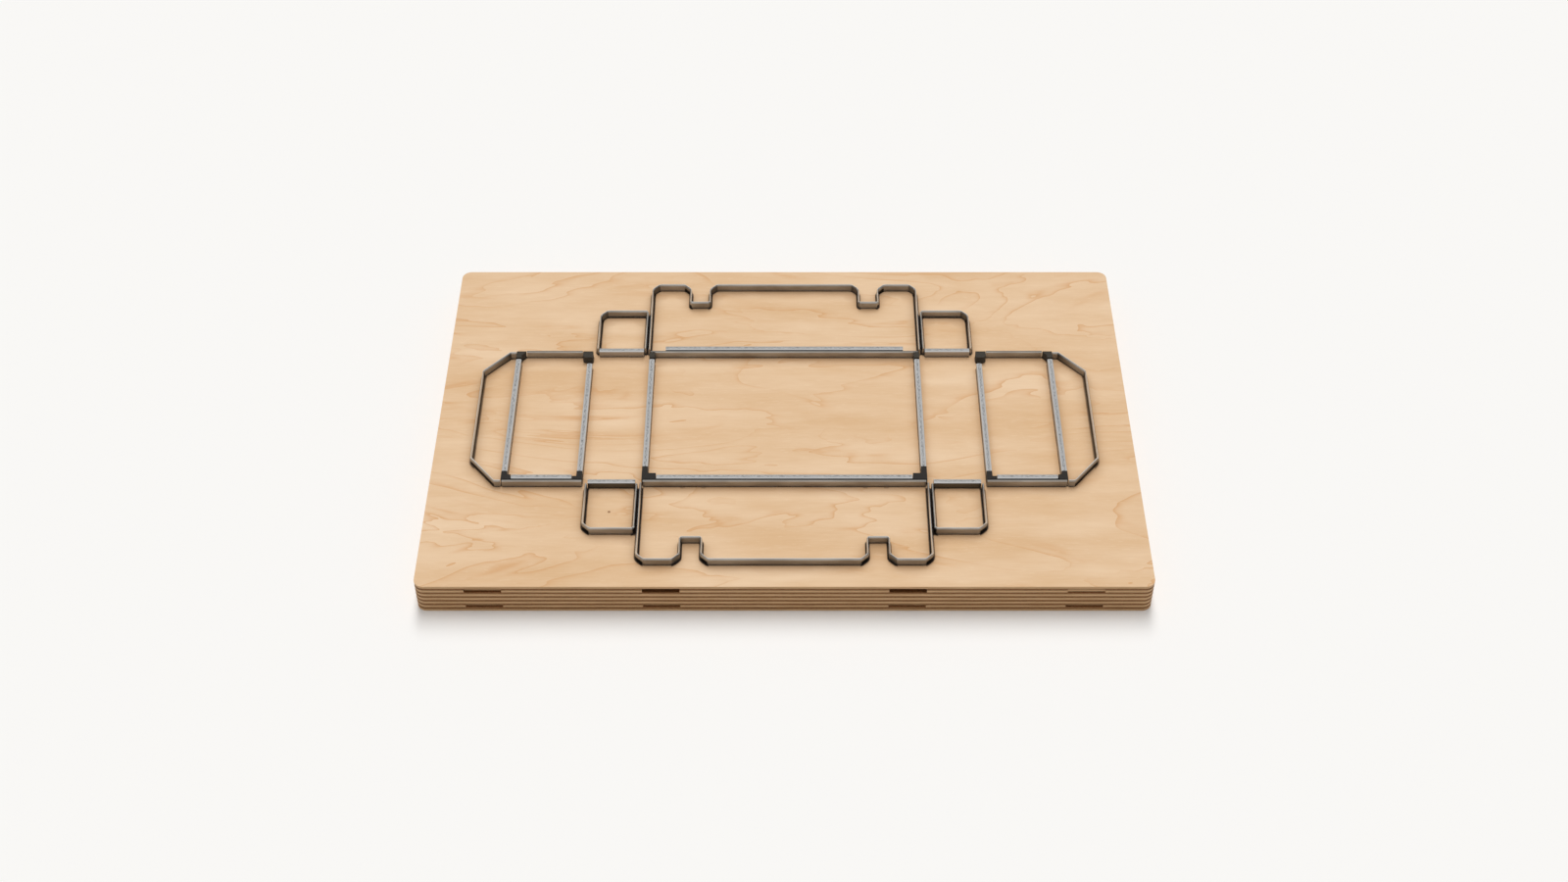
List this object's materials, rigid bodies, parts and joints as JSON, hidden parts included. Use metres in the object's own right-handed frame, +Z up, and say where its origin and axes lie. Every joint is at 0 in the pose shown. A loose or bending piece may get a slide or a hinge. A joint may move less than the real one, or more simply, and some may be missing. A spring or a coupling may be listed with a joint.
{
  "type": "steel rule die",
  "caption": "Flat plywood dieboard with bent cutting rules, creasing rules and rubber corner pads, for cutting and creasing a folding carton tray blank.",
  "frame": {"origin": "middle of the board's underside", "axes": "+X along the board's long side, +Y to its back edge, +Z up out of the cutting face"},
  "size_m": [0.366, 0.236, 0.0228],
  "materials": {
    "board": "pale birch plywood, sanded face, laser-browned edge",
    "cut_rule": "dark tempered strip steel with a bright ground edge",
    "crease_rule": "satin strip steel with a round crown",
    "pad": "matt black closed-cell rubber"
  },
  "bodies": {
    "root": {"dieboard": "board", "back_panel_cut_rule": "cut_rule", "front_panel_cut_rule": "cut_rule", "back_left_tab_cut_rule": "cut_rule", "back_right_tab_cut_rule": "cut_rule", "front_left_tab_cut_rule": "cut_rule", "front_right_tab_cut_rule": "cut_rule", "left_flap_cut_rule": "cut_rule", "right_flap_cut_rule": "cut_rule", "back_centre_cut_rule": "cut_rule", "front_centre_cut_rule": "cut_rule", "back_left_wall_cut_rule": "cut_rule", "back_right_wall_cut_rule": "cut_rule", "front_left_wall_cut_rule": "cut_rule", "front_right_wall_cut_rule": "cut_rule", "back_centre_crease_rule": "crease_rule", "front_centre_crease_rule": "crease_rule", "front_left_wall_crease_rule": "crease_rule", "front_right_wall_crease_rule": "crease_rule", "back_left_tab_crease_rule": "crease_rule", "back_right_tab_crease_rule": "crease_rule", "front_left_tab_crease_rule": "crease_rule", "front_right_tab_crease_rule": "crease_rule", "left_outer_crease_rule": "crease_rule", "left_middle_crease_rule": "crease_rule", "left_inner_crease_rule": "crease_rule", "right_outer_crease_rule": "crease_rule", "right_middle_crease_rule": "crease_rule", "right_inner_crease_rule": "crease_rule", "back_left_outer_pad": "pad", "back_left_middle_pad": "pad", "back_left_inner_pad": "pad", "back_right_outer_pad": "pad", "back_right_middle_pad": "pad", "back_right_inner_pad": "pad", "front_left_outer_pad": "pad", "front_left_middle_pad": "pad", "front_left_inner_pad": "pad", "front_right_outer_pad": "pad", "front_right_middle_pad": "pad", "front_right_inner_pad": "pad"}
  },
  "joints": []
}
